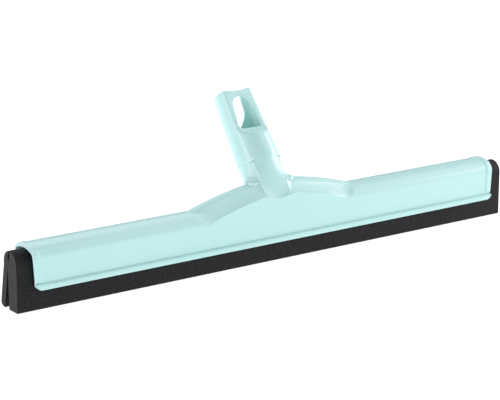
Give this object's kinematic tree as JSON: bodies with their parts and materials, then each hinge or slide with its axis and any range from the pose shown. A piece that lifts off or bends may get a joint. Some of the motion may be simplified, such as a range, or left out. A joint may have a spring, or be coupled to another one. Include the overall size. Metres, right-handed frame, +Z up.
{
  "type": "floor squeegee",
  "caption": "Floor squeegee head: moulded hood with a leaning click socket for a handle, gripping a strip of sponge rubber with two wiping lips.",
  "frame": {"origin": "on the floor under the middle of the hood, where the flat foot of the front lip rests", "axes": "+X along the strip, +Y from the strip's flat front towards the back, where the socket leans, +Z up"},
  "size_m": [0.45, 0.0746, 0.1237],
  "materials": {
    "mint_plastic": "moulded polypropylene, glossy, pale mint",
    "sponge_rubber": "matt cellular rubber, charcoal, with a fine open-cell grain on the cut ends"
  },
  "bodies": {
    "head": {"head_shell": "mint_plastic", "handle_socket": "mint_plastic"},
    "strip": {"blade_root": "sponge_rubber"},
    "front_lip": {"front_lip": "sponge_rubber"},
    "back_lip": {"back_lip": "sponge_rubber"}
  },
  "joints": [
    {"name": "strip_slide", "type": "slide", "parent": "head", "child": "strip", "axis": [1, 0, 0], "range_m": [-0.44, 0.44]},
    {"name": "front_lip_flex", "type": "hinge", "parent": "strip", "child": "front_lip", "pos_m": [0, -0.00425, 0.013], "axis": [1, 0, 0], "range_deg": [-20, 8], "stiffness_Nm_per_rad": 5.3},
    {"name": "back_lip_flex", "type": "hinge", "parent": "strip", "child": "back_lip", "pos_m": [0, 0.00863, 0.013], "axis": [1, 0, 0], "range_deg": [-8, 20], "stiffness_Nm_per_rad": 0.66}
  ]
}
